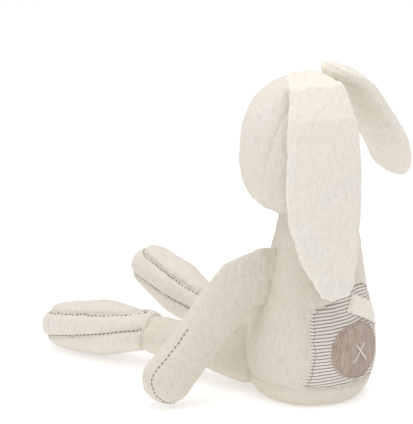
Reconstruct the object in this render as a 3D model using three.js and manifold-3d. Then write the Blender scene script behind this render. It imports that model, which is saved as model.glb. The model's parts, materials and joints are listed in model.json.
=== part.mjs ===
// Sitting long-limbed rabbit plush, in millimetres.
// Origin: centre of the flat seat on the floor. +Z is up, -Y is the way it faces, +X is its left side.

import * as THREE from 'three';
import { mergeVertices } from 'three/addons/utils/BufferGeometryUtils.js';
import Module from 'manifold-3d';

const wasm = await Module();
wasm.setup();

// ---------- driving dimensions ----------

const skinThickness = 2.6; // plush cloth with its nap
const sewnGap = 0.3; // between pieces that touch
const fillGap = 0.5; // between the cloth and the stuffing
const lift = 0.3; // of anything that lies on the plush
const threadThickness = 0.9;
const feltThickness = 2.2;
const tapeThickness = 1.6;

const torsoHeight = 164; // seat to the neck seam
const torsoRadius = 61; // widest, low down
const torsoLean = 8; // backwards, at the neck
const baseSeamHeight = 21;
const beanHeight = 52; // top of the pellet pouch

const headRadius = 56;
const headHalfHeight = 66;
const headForward = 14; // of the middle of the seat
const headSeat = 6; // of the chin above the torso's neck seam
const cheekRoundness = 2.6; // 2 is a true ellipse; more fills out the lower half of the head
const cheekWidth = 0.04; // how much wider the cheeks are than the crown
const neckHeight = 26;
const neckRadius = 36;
const neckPlay = 3.4; // room for the head to nod on the neck

const earWidth = 77;
const earDepth = 21;
const armWidth = 50;
const armDepth = 38;
const legRadius = 19.5;
const legLength = 104; // from the hip to the ankle
const footLength = 139;
const footWidth = 54; // halfway along
const heelWidth = 44;
const toeWidth = 48;
const footHeight = 57; // halfway along
const heelHeight = 42;
const toeHeight = 46;

const tailRadius = 27;
const tailHeight = 53.5;
const tailOffset = 8; // to the left of the middle of the back

const bodySteps = 20; // facets round the torso and the head
const limbSteps = 12; // facets round an ear, an arm or a leg

const vector = (x, y, z) => new THREE.Vector3(x, y, z);
const UP = vector(0, 0, 1);
const headCentre = vector(0, -headForward, torsoHeight + headSeat + headHalfHeight);
const degrees = Math.PI / 180;

// ---------- colours ----------

const PLUSH = 0xddd6c8;
const PALE_PLUSH = 0xe6dfd3;
const LINING = 0xdcd2c0;
const HEAD_PLUSH = 0xe1dacf;
const BASE = 0xd5cfc3;
const STRIPED = 0xccc5bd;
const POUCH = 0xd8d2c6;
const FILL = 0xf1efea;

// ---------- solids ----------

const rabbit = new THREE.Group();
rabbit.name = 'bunny_plush';

const wide = 400; // larger than anything in the toy

/** A closed three.js geometry as a solid that can be cut. */
function solid(geometry) {
  const bare = geometry.clone();
  bare.deleteAttribute('normal');
  bare.deleteAttribute('uv');
  const welded = mergeVertices(bare, 1e-4);
  const mesh = new wasm.Mesh({
    numProp: 3,
    vertProperties: Float32Array.from(welded.attributes.position.array),
    triVerts: Uint32Array.from(welded.index.array),
  });
  return new wasm.Manifold(mesh);
}

/** The largest body of a shape, without the crumbs a cut can leave beside it. */
function withoutCrumbs(shape) {
  return shape.decompose().reduce((most, body) => (body.volume() > most.volume() ? body : most));
}

/** Adds one named piece to a group. */
function addPiece(group, name, shape, colour, roughness = 0.95) {
  const mesh = withoutCrumbs(shape).getMesh();
  const geometry = new THREE.BufferGeometry();
  geometry.setAttribute('position', new THREE.BufferAttribute(Float32Array.from(mesh.vertProperties), 3));
  geometry.setIndex(new THREE.BufferAttribute(Uint32Array.from(mesh.triVerts), 1));
  geometry.computeVertexNormals();
  const material = new THREE.MeshStandardMaterial({ color: colour, roughness, metalness: 0 });
  const piece = new THREE.Mesh(geometry, material);
  piece.name = name;
  group.add(piece);
  return piece;
}

/** A named group of pieces that move together. */
function addGroup(name) {
  const group = new THREE.Group();
  group.name = name;
  rabbit.add(group);
  return group;
}

/** A block between two corners. */
function block(low, high) {
  const size = high.map((value, i) => value - low[i]);
  const geometry = new THREE.BoxGeometry(...size);
  geometry.translate(...low.map((value, i) => value + size[i] / 2));
  return solid(geometry);
}

/** Everything between two heights. */
function between(low, high) {
  return block([-wide, -wide, low], [wide, wide, high]);
}

/** Everything on one side of the middle seam: 1 for the rabbit's left, -1 for its right. */
function oneSide(side) {
  const [low, high] = side > 0 ? [sewnGap / 2, wide] : [-wide, -sewnGap / 2];
  return block([low, -wide, -wide], [high, wide, wide]);
}

/** A flat outline drawn in the XZ plane and thickened along Y from nearY to farY. */
function upright(outline, nearY, farY, curveSegments) {
  const depth = farY - nearY;
  const geometry = new THREE.ExtrudeGeometry(outline, { depth, bevelEnabled: false, curveSegments });
  geometry.rotateX(Math.PI / 2);
  geometry.translate(0, farY, 0);
  return solid(geometry);
}

/** The part of a shape between two sizes of itself: the cloth, or a thread lying on the cloth. */
function layer(sized, outer, inner) {
  return sized(outer).subtract(sized(inner));
}

/** What a thread lying on a surface fills. */
function threadLayer(sized) {
  return layer(sized, lift + threadThickness, lift);
}

// ---------- torso ----------

// radius at each height, as a share of the widest radius and of the torso's height
const pear = new THREE.SplineCurve([
  new THREE.Vector2(0.76, 0),
  new THREE.Vector2(0.93, 0.075),
  new THREE.Vector2(1, 0.28),
  new THREE.Vector2(0.93, 0.45),
  new THREE.Vector2(0.75, 0.72),
  new THREE.Vector2(0.62, 1),
]);

/** The torso's outer shape, grown outwards by `grow`; it leans back more the higher it is. */
function torsoShape(grow) {
  const rows = 9;
  const profile = [new THREE.Vector2(0, -grow)];
  for (const point of pear.getPoints(rows)) {
    const height = THREE.MathUtils.lerp(-grow, torsoHeight, point.y);
    profile.push(new THREE.Vector2(point.x * torsoRadius + grow, height));
  }
  profile.push(new THREE.Vector2(0, torsoHeight));
  const geometry = new THREE.LatheGeometry(profile, bodySteps);
  geometry.rotateX(Math.PI / 2);
  const position = geometry.attributes.position;
  for (let i = 0; i < position.count; i++) {
    const height = Math.max(position.getZ(i), 0);
    position.setY(i, position.getY(i) + torsoLean * (height / torsoHeight) ** 2);
  }
  return solid(geometry);
}

const behindSeat = 10; // where cuts that only meet the back of the torso start
const panelHalfFoot = 50; // half the striped panel's width along the base seam
const panelHalfSide = 45; // and where its sides end
const panelSideHeight = 88;
const panelShoulder = 15; // width of its rounded corners
const panelShoulderRise = 10.5; // and their height
const panelCrown = 115; // height of its top

/** The striped back panel's outline seen from behind, drawn in from its edge by `inset`. */
function backOutline(inset) {
  const foot = panelHalfFoot - inset;
  const side = panelHalfSide - inset;
  const bottom = baseSeamHeight + sewnGap + inset;
  const sideTop = panelSideHeight - inset;
  const crown = panelCrown - inset;
  const corner = sideTop + panelShoulderRise;
  const outline = new THREE.Shape();
  outline.moveTo(-foot, bottom);
  outline.lineTo(foot, bottom);
  outline.lineTo(side, sideTop);
  outline.quadraticCurveTo(side, corner, side - panelShoulder, corner);
  outline.quadraticCurveTo(side / 3, crown, 0, crown);
  outline.quadraticCurveTo(-side / 3, crown, panelShoulder - side, corner);
  outline.quadraticCurveTo(-side, corner, -side, sideTop);
  outline.closePath();
  return outline;
}

/** Everything behind the torso and inside the back panel's outline. */
function backRegion(inset) {
  return upright(backOutline(inset), behindSeat, 2 * torsoRadius, 5);
}

const torsoCuts = [];

/** Takes the sockets of the limbs out of a piece of the torso. */
function clearOfLimbs(shape) {
  return torsoCuts.reduce((left, cut) => left.subtract(cut), shape);
}

function buildTorso() {
  const group = addGroup('torso');
  const cloth = clearOfLimbs(layer(torsoShape, 0, -skinThickness));
  const neckOpening = torsoHeight - skinThickness - fillGap; // where the cloth ends
  const sewn = cloth.intersect(between(baseSeamHeight + sewnGap, neckOpening));
  const sides = sewn.subtract(backRegion(-sewnGap));
  addPiece(group, 'left_body_panel', sides.intersect(oneSide(1)), PLUSH);
  addPiece(group, 'right_body_panel', sides.intersect(oneSide(-1)), PLUSH);
  addPiece(group, 'base_panel', cloth.intersect(between(-wide, baseSeamHeight)), BASE);
  addPiece(group, 'striped_back_panel', sewn.intersect(backRegion(0)), STRIPED, 0.9);

  const inside = clearOfLimbs(torsoShape(-skinThickness - fillGap));
  addPiece(group, 'bean_bag', inside.intersect(between(-wide, beanHeight)), POUCH);
  addPiece(group, 'torso_stuffing', inside.intersect(between(beanHeight + sewnGap, wide)), FILL);
  buildBackTrim(group);
}

/** Puts a cutter that is as deep as the torso behind it, centred on a place on the back. */
function behindBack(geometry, x, z) {
  geometry.translate(x, torsoRadius + behindSeat, z);
  return solid(geometry);
}

const panelStitchInset = 3; // of the back panel's edge stitching
const strandLength = 20; // of the tail's cross stitch
const strandWidth = 1.5;
const strandTilt = 52 * degrees;
const tapeWidth = 13.5;
const tapeLength = 53;
const tapeTilt = -32 * degrees;
const tapePlace = { x: -10.5, z: 86.7 }; // its middle, seen from behind
const tapeRise = 1.2; // of the tape over the plush

/** The edge stitching of the back panel, the felt tail with its cross stitch, and the tape. */
function buildBackTrim(group) {
  const ribbon = backRegion(panelStitchInset).subtract(backRegion(panelStitchInset + threadThickness));
  addPiece(group, 'back_panel_topstitch', threadLayer(torsoShape).intersect(ribbon), 0xcfc8bc);

  const disc = new THREE.CylinderGeometry(tailRadius, tailRadius, 2 * torsoRadius, 28);
  const felt = layer(torsoShape, lift + feltThickness, lift);
  addPiece(group, 'tail_disc', felt.intersect(behindBack(disc, tailOffset, tailHeight)), 0xaf9d90);

  let rise = lift + feltThickness + lift;
  for (const [name, tilt] of [['tail_cross_stitch_a', strandTilt], ['tail_cross_stitch_b', -strandTilt]]) {
    const bar = new THREE.BoxGeometry(strandLength, 2 * torsoRadius, strandWidth);
    bar.rotateY(tilt);
    const strand = layer(torsoShape, rise + threadThickness, rise);
    addPiece(group, name, strand.intersect(behindBack(bar, tailOffset, tailHeight)), 0xefe9df);
    rise += threadThickness + lift;
  }

  const tape = new THREE.BoxGeometry(tapeLength, 2 * torsoRadius, tapeWidth);
  tape.rotateY(tapeTilt);
  const band = layer(torsoShape, tapeRise + tapeThickness, tapeRise);
  addPiece(group, 'label_tape', band.intersect(behindBack(tape, tapePlace.x, tapePlace.z)), 0xe9dfd3, 0.85);
}

// ---------- head and neck ----------

/** The head's shape, grown by `grow`: an egg above its middle and fuller below, in the cheeks and chin. */
function headShape(grow) {
  const geometry = new THREE.SphereGeometry(1, bodySteps, 12);
  geometry.rotateX(Math.PI / 2);
  const position = geometry.attributes.position;
  for (let i = 0; i < position.count; i++) {
    const below = THREE.MathUtils.clamp(-position.getZ(i), 0, 1);
    const ellipse = Math.sqrt(1 - below ** 2);
    const full = (1 - below ** cheekRoundness) ** (1 / cheekRoundness) * (1 + cheekWidth * Math.sqrt(below));
    const wider = ellipse > 0 ? full / ellipse : 1;
    position.setX(i, position.getX(i) * wider);
    position.setY(i, position.getY(i) * wider);
  }
  geometry.scale(headRadius + grow, headRadius + grow, headHalfHeight + grow);
  geometry.translate(headCentre.x, headCentre.y, headCentre.z);
  return solid(geometry);
}

const cheekSeamSlant = 14.5 * degrees; // from upright
const cheekSeamBack = 5.5; // behind the middle of the head

/** Everything in front of the slanting cheek seams, moved back by `shift`. */
function faceRegion(shift) {
  const region = new THREE.BoxGeometry(wide, wide, wide);
  region.translate(0, -wide / 2, 0);
  region.rotateX(-cheekSeamSlant);
  region.translate(0, headCentre.y + cheekSeamBack + shift, headCentre.z);
  return solid(region);
}

const eyeSpacing = 18.5; // from the middle of the face
const eyeHeight = 8; // above the middle of the head
const eyeRadius = 4.6;
const eyeDome = 4.2; // height of the eye above the seat it is pulled into
const eyeSink = 2.4; // depth of that seat in the face
const eyeTilt = Math.asin(eyeSpacing / headRadius); // outwards from straight ahead
const shankRadius = 1.6;
const shankLength = 9;
const washerRadius = 6;
const washerThickness = 1.6;
const washerGap = 2.4; // stuffing squeezed between the washer and the cloth
const seatMargin = 2; // round the eye, where the cloth is pulled in
const pastFace = 6; // how far cuts reach out of the face

/** A lathe-turned piece of an eye, pointing out of the face on one side. */
function eyePiece(side, profile, steps = 14) {
  const geometry = new THREE.LatheGeometry(profile, steps);
  geometry.rotateX(Math.PI);
  const depth = Math.sqrt(1 - (eyeSpacing / headRadius) ** 2 - (eyeHeight / headHalfHeight) ** 2);
  const root = new THREE.Vector3(side * eyeSpacing, -depth * headRadius, eyeHeight).add(headCentre);
  geometry.rotateZ(side * eyeTilt);
  geometry.translate(root.x, root.y, root.z);
  return solid(geometry);
}

/** Points from [radius, distance out of the face] pairs. */
function profileOf(...pairs) {
  return pairs.map(([radius, out]) => new THREE.Vector2(radius, out));
}

const eyeProfile = profileOf(
  [0, -shankLength],
  [shankRadius, -shankLength],
  [shankRadius, 0.5 - eyeSink],
  [eyeRadius, 0.9 - eyeSink],
  [0.92 * eyeRadius, 0.52 * eyeDome - eyeSink],
  [0.6 * eyeRadius, 0.86 * eyeDome - eyeSink],
  [0, eyeDome - eyeSink],
);
const washerTop = -skinThickness - washerGap;
const washerProfile = profileOf(
  [shankRadius + sewnGap, washerTop - washerThickness],
  [washerRadius, washerTop - washerThickness],
  [washerRadius, washerTop],
  [shankRadius + sewnGap, washerTop],
  [shankRadius + sewnGap, washerTop - washerThickness],
);
const shankHole = profileOf(
  [0, -shankLength - 1],
  [shankRadius + sewnGap, -shankLength - 1],
  [shankRadius + sewnGap, pastFace],
  [0, pastFace],
);
const seatRadius = eyeRadius + seatMargin;
const eyeSeat = profileOf(
  [0, 0.2 - eyeSink],
  [seatRadius, 0.2 - eyeSink],
  [seatRadius, pastFace],
  [0, pastFace],
);
const washerPocket = profileOf(
  [0, washerTop - washerThickness - sewnGap],
  [washerRadius + sewnGap, washerTop - washerThickness - sewnGap],
  [washerRadius + sewnGap, pastFace],
  [0, pastFace],
);

const noseThickness = 1.4;
const noseHalfWidth = 6.5;
const noseHeight = 9;
const noseDrop = 10; // of its top below the middle of the head
const mouthGap = 0.8; // below the nose
const mouthDrop = 7; // length of the upright stitch
const mouthHalfWidth = 9;
const mouthSag = 5; // of the two curved stitches

/** The triangular nose, seen from the front. */
function noseOutline() {
  const top = headCentre.z - noseDrop;
  const tip = top - noseHeight;
  const outline = new THREE.Shape();
  outline.moveTo(0, tip);
  outline.quadraticCurveTo(0.8 * noseHalfWidth, top - noseHeight / 2, noseHalfWidth, top);
  outline.quadraticCurveTo(0, top + 1.5, -noseHalfWidth, top);
  outline.quadraticCurveTo(-0.8 * noseHalfWidth, top - noseHeight / 2, 0, tip);
  return outline;
}

/** The mouth seen from the front: a stitch down from the nose that parts into two curved ones. */
function mouthOutline() {
  const half = threadThickness / 2;
  const top = headCentre.z - noseDrop - noseHeight - mouthGap;
  const fork = top - mouthDrop;
  const end = fork - 2;
  const outline = new THREE.Shape();
  outline.moveTo(-half, top);
  outline.lineTo(-half, fork);
  outline.quadraticCurveTo(-mouthSag, fork - mouthSag, -mouthHalfWidth, end);
  outline.lineTo(-mouthHalfWidth, end - threadThickness);
  outline.quadraticCurveTo(-mouthSag + half, fork - mouthSag - half, 0, fork - 1.5 * threadThickness);
  outline.quadraticCurveTo(mouthSag - half, fork - mouthSag - half, mouthHalfWidth, end - threadThickness);
  outline.lineTo(mouthHalfWidth, end);
  outline.quadraticCurveTo(mouthSag, fork - mouthSag, half, fork);
  outline.lineTo(half, top);
  outline.closePath();
  return outline;
}

function buildHead() {
  const group = addGroup('head');
  let cloth = layer(headShape, 0, -skinThickness);
  let stuffing = headShape(-skinThickness - fillGap);
  for (const side of [1, -1]) {
    cloth = cloth.subtract(eyePiece(side, shankHole)).subtract(eyePiece(side, eyeSeat));
    stuffing = stuffing.subtract(eyePiece(side, shankHole)).subtract(eyePiece(side, washerPocket));
  }
  const back = cloth.subtract(faceRegion(sewnGap));
  addPiece(group, 'face_panel', cloth.intersect(faceRegion(0)), 0xe5ded4);
  addPiece(group, 'left_head_panel', back.intersect(oneSide(1)), HEAD_PLUSH);
  addPiece(group, 'right_head_panel', back.intersect(oneSide(-1)), HEAD_PLUSH);
  addPiece(group, 'head_stuffing', stuffing, FILL);
  for (const [name, side] of [['left', 1], ['right', -1]]) {
    addPiece(group, `${name}_eye`, eyePiece(side, eyeProfile), 0x1d1713, 0.15);
    addPiece(group, `${name}_eye_washer`, eyePiece(side, washerProfile), 0xe8e6e0, 0.5);
  }
  const front = headCentre.y - 2 * headRadius;
  const nose = upright(noseOutline(), front, headCentre.y, 4);
  const mouth = upright(mouthOutline(), front, headCentre.y, 4);
  addPiece(group, 'nose', layer(headShape, lift + noseThickness, lift).intersect(nose), 0xa88a78, 0.6);
  addPiece(group, 'mouth_stitch', threadLayer(headShape).intersect(mouth), 0x8a7263);
}

/** The stuffed neck between the torso's open top and the underside of the head. */
function buildNeck() {
  const geometry = new THREE.CylinderGeometry(neckRadius - 2, neckRadius, neckHeight, bodySteps);
  geometry.rotateX(Math.PI / 2);
  geometry.translate(0, torsoLean - 2, torsoHeight + sewnGap + neckHeight / 2);
  addPiece(addGroup('neck'), 'neck_stuffing', solid(geometry).subtract(headShape(neckPlay)), PLUSH);
}

// ---------- limbs: one family of shapes drawn along a centre line ----------

/**
 * A soft limb: a centre line, the direction its width lies in, and its half width and half depth
 * along the line. `point` gives the place at (along 0..1, across -1..1, out -1..1).
 */
class Limb {
  constructor({ line, across, width, depth, rootRound, tipRound, rows = 4 }) {
    this.curve = new THREE.CatmullRomCurve3(line);
    this.across = across.clone().normalize();
    this.width = new THREE.SplineCurve(width.map((value, i) => new THREE.Vector2(i, value / 2)));
    this.depth = new THREE.SplineCurve(depth.map((value, i) => new THREE.Vector2(i, value / 2)));
    this.rootRound = rootRound;
    this.tipRound = tipRound;
    this.rows = rows; // of facets along its length
    this.broad = Math.max(...width) / 2 + 4; // beyond its surface
    this.deep = Math.max(...depth) / 2 + 4;
  }

  /** Centre, width direction and depth direction at a share of the way along. */
  frame(along) {
    const inside = THREE.MathUtils.clamp(along, 0, 1);
    const forward = this.curve.getTangentAt(inside);
    const out = new THREE.Vector3().crossVectors(this.across, forward).normalize();
    const side = new THREE.Vector3().crossVectors(forward, out).normalize();
    const centre = this.curve.getPointAt(inside).addScaledVector(forward, (along - inside) * this.length);
    return { centre, side, out, forward };
  }

  get length() {
    return this.curve.getLength();
  }

  /** Bends a capsule of radius 1 along the limb; every size grows by `grow`. */
  shape(grow) {
    const geometry = new THREE.CapsuleGeometry(1, 1, 3, limbSteps, this.rows);
    const position = geometry.attributes.position;
    const spot = new THREE.Vector3();
    for (let i = 0; i < position.count; i++) {
      spot.fromBufferAttribute(position, i);
      const along = THREE.MathUtils.clamp(spot.y + 0.5, 0, 1);
      const past = spot.y + 0.5 - along;
      const { centre, side, out, forward } = this.frame(along);
      const halfWidth = this.width.getPoint(along).y + grow;
      const halfDepth = this.depth.getPoint(along).y + grow;
      const round = (past > 0 ? this.tipRound : this.rootRound) + grow;
      centre.addScaledVector(side, spot.x * halfWidth);
      centre.addScaledVector(out, spot.z * halfDepth);
      centre.addScaledVector(forward, past * round);
      position.setXYZ(i, centre.x, centre.y, centre.z);
    }
    return solid(geometry);
  }

  /**
   * A thick sheet that follows the limb between two levels, `low` and `high`, of its depth.
   * Both levels climb by `rise` from the root to the tip, and are true halfway along.
   */
  slab(low, high, rise = 0) {
    const reach = 0.35;
    const geometry = new THREE.BoxGeometry(1, this.rows + 2, 1, 1, this.rows + 2, 1);
    const firstRow = -this.rows / 2;
    const position = geometry.attributes.position;
    for (let i = 0; i < position.count; i++) {
      const row = position.getY(i) - firstRow;
      const end = row < 0 ? -reach : 1 + reach;
      const along = row < -0.5 || row > this.rows + 0.5 ? end : row / this.rows;
      const { centre, side, out } = this.frame(along);
      centre.addScaledVector(side, position.getX(i) * 2 * this.broad);
      centre.addScaledVector(out, (position.getZ(i) > 0 ? high : low) + rise * (along - 0.5));
      position.setXYZ(i, centre.x, centre.y, centre.z);
    }
    return solid(geometry);
  }

  /**
   * A thin wall through the limb that follows one edge of its outline, `inset` in from it, and goes on
   * round the tip. `edge` is 1 or -1 along the width. The wall's other edge lies outside the limb.
   */
  edgeWall(inset, edge) {
    const shift = inset / 2 + 3;
    const { side } = this.frame(0.5);
    const walls = [0, threadThickness].map((thinner) => new Limb({
      line: this.curve.points.map((point) => point.clone().addScaledVector(side, -edge * shift)),
      across: this.across,
      width: this.width.points.map((point) => 2 * (point.y - inset + shift - thinner)),
      depth: this.depth.points.map(() => 4 * this.deep),
      rootRound: 1,
      tipRound: this.tipRound - inset - thinner,
    }));
    return walls[0].shape(0).subtract(walls[1].shape(0));
  }
}

/** The two cloth faces of a limb and the stuffing between them. */
function addLimb(group, limb, names, colours, cut = (shape) => shape) {
  const sized = (grow) => limb.shape(grow);
  const cloth = cut(layer(sized, 0, -skinThickness));
  const half = sewnGap / 2;
  addPiece(group, names.outer, cloth.intersect(limb.slab(half, limb.deep)), colours.outer);
  addPiece(group, names.inner, cloth.subtract(limb.slab(-half, limb.deep)), colours.inner);
  addPiece(group, names.stuffing, cut(sized(-skinThickness - fillGap)), FILL);
}

// ---------- ears ----------

const earTop = headCentre.z + headHalfHeight; // crown of the head

/** The left ear lies over the crown and hangs down behind the head; the right one sticks out sideways. */
const leftEar = new Limb({
  line: [
    vector(19, 1, earTop + 3),
    vector(27, 19, earTop + 3),
    vector(37, 36, earTop - 26),
    vector(42, 43, earTop - 73),
    vector(43, 46, earTop - 127),
    vector(39, 56, earTop - 180),
  ],
  across: vector(0.84, -0.54, 0),
  width: [44, 64, 74, earWidth, 69, 42],
  depth: [10, 17, earDepth, earDepth, 19, 12],
  rootRound: 4,
  tipRound: 15,
  rows: 7,
});

const rightEar = new Limb({
  line: [
    vector(-24, 9, earTop + 2),
    vector(-57, 6, earTop - 12),
    vector(-90, 0, earTop - 42),
    vector(-117, -6, earTop - 69),
    vector(-141, -13, earTop - 92),
    vector(-161, -21, earTop - 115),
  ],
  across: vector(0.02, 0.96, -0.25),
  width: [40, 44, 50, 62, 66, 50],
  depth: [10, 17, 20, 24, 26, 21],
  rootRound: 4,
  tipRound: 17,
  rows: 7,
});

function buildEar(side, limb) {
  const group = addGroup(`${side}_ear`);
  addLimb(
    group,
    limb,
    { outer: `${side}_ear_back`, inner: `${side}_ear_lining`, stuffing: `${side}_ear_padding` },
    { outer: PALE_PLUSH, inner: LINING },
    (shape) => shape.subtract(headShape(1)),
  );
}

// ---------- arms ----------

const shoulder = vector(45, -18, 119);
const shoulderInset = vector(-9, 5, 3); // how far the wedge-shaped end reaches in round the body
const topstitchInset = 4; // of the arm's topstitch from its upper edge
const topstitchDrop = 37; // from the shoulder down to where the topstitch starts
const topstitchLevel = 4; // the thread stays this far clear of the arm's edge seam
const armRoom = 2.6; // between the torso and the wedge-shaped end of an arm
const paw = vector(119, -77, 25);

/** An arm from its upright shoulder seam down to the paw on the floor; `side` is 1 on the left. */
function armLimb(side) {
  const mirrored = (x, y, z) => vector(side * x, y, z);
  return new Limb({
    line: [
      mirrored(shoulder.x + shoulderInset.x, shoulder.y + shoulderInset.y, shoulder.z + shoulderInset.z),
      mirrored(shoulder.x + 17, shoulder.y - 13, shoulder.z - 4),
      mirrored(shoulder.x + 42, shoulder.y - 33, shoulder.z - 42),
      mirrored(paw.x, paw.y, paw.z),
    ],
    across: UP.clone().multiplyScalar(side),
    width: [60, 53, 47, armWidth],
    depth: [11, 23, 33, armDepth],
    rootRound: 6,
    tipRound: 22,
  });
}

function buildArm(name, side) {
  const group = addGroup(`${name}_arm`);
  const limb = armLimb(side);
  addLimb(
    group,
    limb,
    { outer: `${name}_arm_outer_panel`, inner: `${name}_arm_inner_panel`, stuffing: `${name}_arm_stuffing` },
    { outer: PLUSH, inner: PLUSH },
    (shape) => shape.subtract(torsoShape(armRoom)),
  );
  const outerFace = limb.slab(topstitchLevel, limb.deep);
  const path = limb.edgeWall(topstitchInset, side).intersect(outerFace);
  const lowerArm = between(-wide, shoulder.z - topstitchDrop);
  const stitch = threadLayer((grow) => limb.shape(grow)).intersect(path).intersect(lowerArm);
  addPiece(group, `${name}_arm_topstitch`, stitch, 0x8d8075);
}

// ---------- legs and feet ----------

const hip = vector(30, -50, 24);

/** Turns a direction in the floor plane by an angle outwards from straight ahead. */
function ahead(outward) {
  return vector(Math.sin(outward), -Math.cos(outward), 0);
}

/** Where each leg goes and how its foot stands; `drop` is how far the foot hangs below the ankle. */
const legs = {
  left: { side: 1, splay: 6.5 * degrees, toeLift: -7 * degrees, ankleHeight: 33, drop: -4 },
  right: { side: -1, splay: 13 * degrees, toeLift: 16 * degrees, ankleHeight: 28, drop: 3 },
};
const kneeRise = 3; // of the middle of a leg above its ends
const heelBehind = 12; // from the ankle back to the end of the heel
const footRound = 20; // length of the rounded heel and toe
const bendRoom = 1.8; // round the end of a leg where it turns
const ankleBend = [-20 * degrees, 20 * degrees];
const hipBend = [-20 * degrees, 20 * degrees];

function ankleOf({ side, splay, ankleHeight }) {
  const root = vector(side * hip.x, hip.y, hip.z);
  const ankle = root.clone().addScaledVector(ahead(side * splay), legLength);
  ankle.z = ankleHeight;
  return { root, ankle };
}

function legLimb(leg, rows = 3) {
  const { root, ankle } = ankleOf(leg);
  const middle = root.clone().lerp(ankle, 0.5);
  middle.z += kneeRise;
  const round = [2 * legRadius, 2 * legRadius, 2 * legRadius];
  return new Limb({
    line: [root, middle, ankle],
    across: ahead(leg.side * leg.splay - Math.PI / 2),
    width: round,
    depth: round,
    rootRound: legRadius,
    tipRound: legRadius,
    rows,
  });
}

/** The boat-shaped foot, heel at the ankle, sole down when the toe is not lifted. */
function footLimb(leg) {
  const { ankle } = ankleOf(leg);
  const toward = ahead(leg.side * leg.splay).multiplyScalar(Math.cos(leg.toeLift));
  toward.z = Math.sin(leg.toeLift);
  const across = ahead(leg.side * leg.splay - Math.PI / 2);
  const heel = ankle.clone().addScaledVector(toward, footRound - heelBehind);
  heel.addScaledVector(new THREE.Vector3().crossVectors(across, toward), -leg.drop);
  const toe = heel.clone().addScaledVector(toward, footLength - 2 * footRound);
  return new Limb({
    line: [heel, heel.clone().lerp(toe, 0.5), toe],
    across,
    width: [heelWidth, footWidth, toeWidth],
    depth: [heelHeight, footHeight, toeHeight],
    rootRound: footRound,
    tipRound: footRound,
    rows: 2,
  });
}

/** What the tube of a leg sweeps when it turns about one of its ends, between two angles. */
function legSweep(leg, pivot, angles) {
  const hinge = ahead(leg.side * leg.splay - Math.PI / 2);
  const tube = legLimb(leg, 1).shape(bendRoom);
  const poses = angles.map((angle) => {
    const turn = new THREE.Matrix4()
      .makeTranslation(pivot.x, pivot.y, pivot.z)
      .multiply(new THREE.Matrix4().makeRotationAxis(hinge, angle))
      .multiply(new THREE.Matrix4().makeTranslation(-pivot.x, -pivot.y, -pivot.z));
    return tube.transform(turn.elements);
  });
  return poses[0].add(poses[1]);
}

/** The tube of a leg: a top and an under panel round its stuffing. */
function buildLeg(name) {
  const limb = legLimb(legs[name]);
  addLimb(
    addGroup(`${name}_leg`),
    limb,
    { outer: `${name}_leg_top_panel`, inner: `${name}_leg_under_panel`, stuffing: `${name}_leg_stuffing` },
    { outer: PLUSH, inner: PLUSH },
  );
}

/** The two seams round a foot: height above its middle halfway along, and rise from heel to toe. */
const footSeams = {
  upper: { level: 18.5, rise: -3 },
  lower: { level: -1, rise: -12 },
};

/** A foot: instep, side gusset and sole round the stuffing, with a topstitched seam above and below. */
function buildFoot(name) {
  const leg = legs[name];
  const group = addGroup(`${name}_foot`);
  const foot = footLimb(leg);
  const swept = legSweep(leg, ankleOf(leg).ankle, ankleBend);
  const sized = (grow) => foot.shape(grow);
  const cloth = layer(sized, 0, -skinThickness).subtract(swept);
  const half = sewnGap / 2;
  const { upper, lower } = footSeams;
  const above = (seam, gap) => foot.slab(seam.level + gap, foot.deep, seam.rise);
  const gusset = cloth.intersect(above(lower, half)).subtract(above(upper, -half));
  addPiece(group, `${name}_foot_instep`, cloth.intersect(above(upper, half)), 0xe5dcd1);
  addPiece(group, `${name}_foot_gusset`, gusset, 0xd9d2c4);
  addPiece(group, `${name}_foot_sole`, cloth.subtract(above(lower, -half)), 0xcec5b7);
  addPiece(group, `${name}_foot_stuffing`, sized(-skinThickness - fillGap).subtract(swept), FILL);
  for (const [place, { level, rise }] of Object.entries(footSeams)) {
    const strip = foot.slab(level - threadThickness / 2, level + threadThickness / 2, rise);
    const thread = threadLayer(sized).intersect(strip).subtract(swept);
    addPiece(group, `${name}_foot_${place}_topstitch`, thread, 0x83766b);
  }
}

// ---------- assembly ----------

for (const leg of Object.values(legs)) {
  torsoCuts.push(legSweep(leg, ankleOf(leg).root, hipBend));
}

buildTorso();
buildNeck();
buildHead();
buildEar('left', leftEar);
buildEar('right', rightEar);
buildArm('left', 1);
buildArm('right', -1);
for (const name of ['left', 'right']) {
  buildLeg(name);
  buildFoot(name);
}

export default rabbit;
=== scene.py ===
"""A sitting plush rabbit, dressed over its CAD frame in metres: +Z up, -Y the way it faces."""

import json
import math

import bmesh
import bpy
import numpy as np
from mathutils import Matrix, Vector
from mathutils.bvhtree import BVHTree
from mathutils.geometry import convex_hull_2d
from mathutils.kdtree import KDTree


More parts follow.
